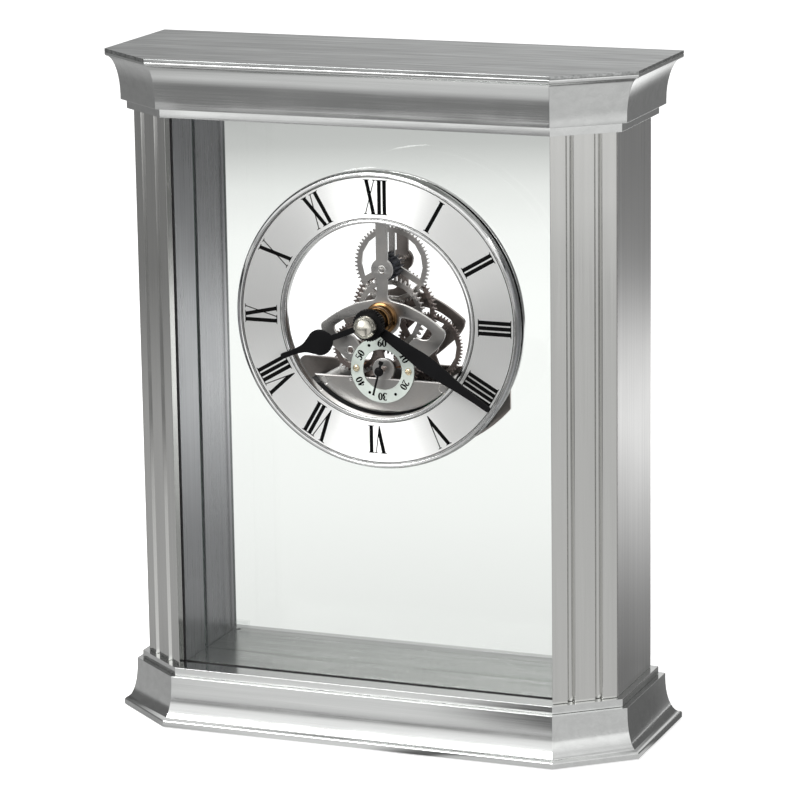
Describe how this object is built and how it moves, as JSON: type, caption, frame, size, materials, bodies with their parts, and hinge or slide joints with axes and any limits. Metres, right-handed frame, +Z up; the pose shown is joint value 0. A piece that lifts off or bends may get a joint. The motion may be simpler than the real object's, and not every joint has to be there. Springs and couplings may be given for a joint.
{
  "type": "mantel clock",
  "caption": "Mantel clock: metal case with cut front corners, moulded base and cap, and a skeleton quartz movement held in a glass pane behind a ring dial.",
  "frame": {"origin": "centre of the footprint, on the surface the clock stands on", "axes": "+Z up, -Y out of the dial towards the viewer, +X to the right seen from the front"},
  "size_m": [0.1802, 0.065, 0.2207],
  "materials": {
    "polished_aluminium": "polished, clear lacquered",
    "brushed_aluminium": "brushed along the length",
    "chrome": "mirror polished",
    "satin_dial": "satin, spun",
    "plate": "satin with bright bevelled edges",
    "wheel": "satin",
    "brass": "turned",
    "steel": "turned",
    "copper": "enamelled copper wire",
    "hand_black": "matt black",
    "dark_plastic": "moulded",
    "rubber": "matt",
    "felt": "pressed felt",
    "dial_white": "eggshell paint",
    "cell_wrap": "printed sleeve without text",
    "board": "solder mask",
    "clear_plastic": "moulded clear plastic",
    "glass": "clear float glass"
  },
  "bodies": {
    "case": {"base_moulding": "polished_aluminium", "base_board": "felt", "base_step": "polished_aluminium", "floor_panel": "brushed_aluminium", "ceiling_panel": "brushed_aluminium", "cap_band": "polished_aluminium", "cap_moulding": "polished_aluminium", "cap_top_plate": "brushed_aluminium", "right_pilaster": "polished_aluminium", "right_side_panel": "brushed_aluminium", "right_inner_panel": "brushed_aluminium", "right_gasket": "rubber", "right_tie_bolt": "steel", "left_pilaster": "polished_aluminium", "left_side_panel": "brushed_aluminium", "left_inner_panel": "brushed_aluminium", "left_gasket": "rubber", "left_tie_bolt": "steel", "movement_glass": "glass", "bezel_ring": "chrome", "dial_ring": "satin_dial", "carrier_ring": "chrome", "clamp_ring": "steel", "front_plate": "plate", "back_plate": "plate", "pillar_top": "steel", "pillar_left": "steel", "pillar_right": "steel", "centre_bushing": "brass", "seconds_dial_screw_left": "brass", "seconds_dial_screw_right": "brass", "seconds_dial": "dial_white", "stator": "steel", "coil_core": "steel", "rotor_bridge": "brass", "coil": "copper", "circuit_board": "board", "battery_case": "dark_plastic", "battery_cell": "cell_wrap", "battery_contact_positive": "steel", "battery_contact_negative": "steel"},
    "minute_arbor": {"cannon_pinion": "brass", "minute_hand": "hand_black", "hand_collar": "hand_black", "ball_nut": "chrome", "setting_knob": "dark_plastic"},
    "hour_wheel_body": {"hour_wheel": "brass", "hour_hand": "hand_black"},
    "minute_wheel_body": {"minute_wheel": "wheel", "minute_pinion": "dark_plastic"},
    "seconds_arbor": {"seconds_wheel": "wheel", "seconds_hand": "hand_black"},
    "intermediate_body": {"intermediate_wheel": "wheel"},
    "rotor_body": {"rotor": "steel"},
    "third_body": {"third_wheel": "wheel"},
    "centre_wheel_body": {"centre_wheel": "brass"},
    "rear_door": {"rear_door_glass": "glass", "door_pivot_lower": "clear_plastic", "door_pivot_upper": "clear_plastic", "door_knob": "chrome"}
  },
  "joints": [
    {"name": "minute_hand_turn", "type": "hinge", "parent": "case", "child": "minute_arbor", "pos_m": [0, 0, 0.1356], "axis": [0, 1, 0], "continuous": true},
    {"name": "minute_wheel_turn", "type": "hinge", "parent": "case", "child": "minute_wheel_body", "pos_m": [0, 0, 0.1513], "axis": [0, 1, 0], "continuous": true},
    {"name": "hour_hand_turn", "type": "hinge", "parent": "case", "child": "hour_wheel_body", "pos_m": [0, 0, 0.1356], "axis": [0, 1, 0], "continuous": true},
    {"name": "seconds_hand_turn", "type": "hinge", "parent": "case", "child": "seconds_arbor", "pos_m": [0, 0, 0.1186], "axis": [0, 1, 0], "continuous": true},
    {"name": "intermediate_wheel_turn", "type": "hinge", "parent": "case", "child": "intermediate_body", "pos_m": [-0.0112, 0, 0.1242], "axis": [0, 1, 0], "continuous": true},
    {"name": "rotor_turn", "type": "hinge", "parent": "case", "child": "rotor_body", "pos_m": [-0.0112, 0, 0.11472], "axis": [0, 1, 0], "continuous": true},
    {"name": "third_wheel_turn", "type": "hinge", "parent": "case", "child": "third_body", "pos_m": [0.0112, 0, 0.1242], "axis": [0, 1, 0], "continuous": true},
    {"name": "centre_wheel_turn", "type": "hinge", "parent": "case", "child": "centre_wheel_body", "pos_m": [0, 0, 0.1356], "axis": [0, 1, 0], "continuous": true},
    {"name": "rear_door_swing", "type": "hinge", "parent": "case", "child": "rear_door", "pos_m": [-0.0628, 0.0198, 0.11], "axis": [0, 0, 1], "range_deg": [0, 90]}
  ],
  "couplings": [
    {"joint": "minute_wheel_turn", "follows": "minute_hand_turn", "ratio": -0.25},
    {"joint": "hour_hand_turn", "follows": "minute_hand_turn", "ratio": 0.083333},
    {"joint": "intermediate_wheel_turn", "follows": "seconds_hand_turn", "ratio": -6},
    {"joint": "rotor_turn", "follows": "seconds_hand_turn", "ratio": 30},
    {"joint": "third_wheel_turn", "follows": "seconds_hand_turn", "ratio": -0.13333},
    {"joint": "centre_wheel_turn", "follows": "seconds_hand_turn", "ratio": 0.016667}
  ]
}
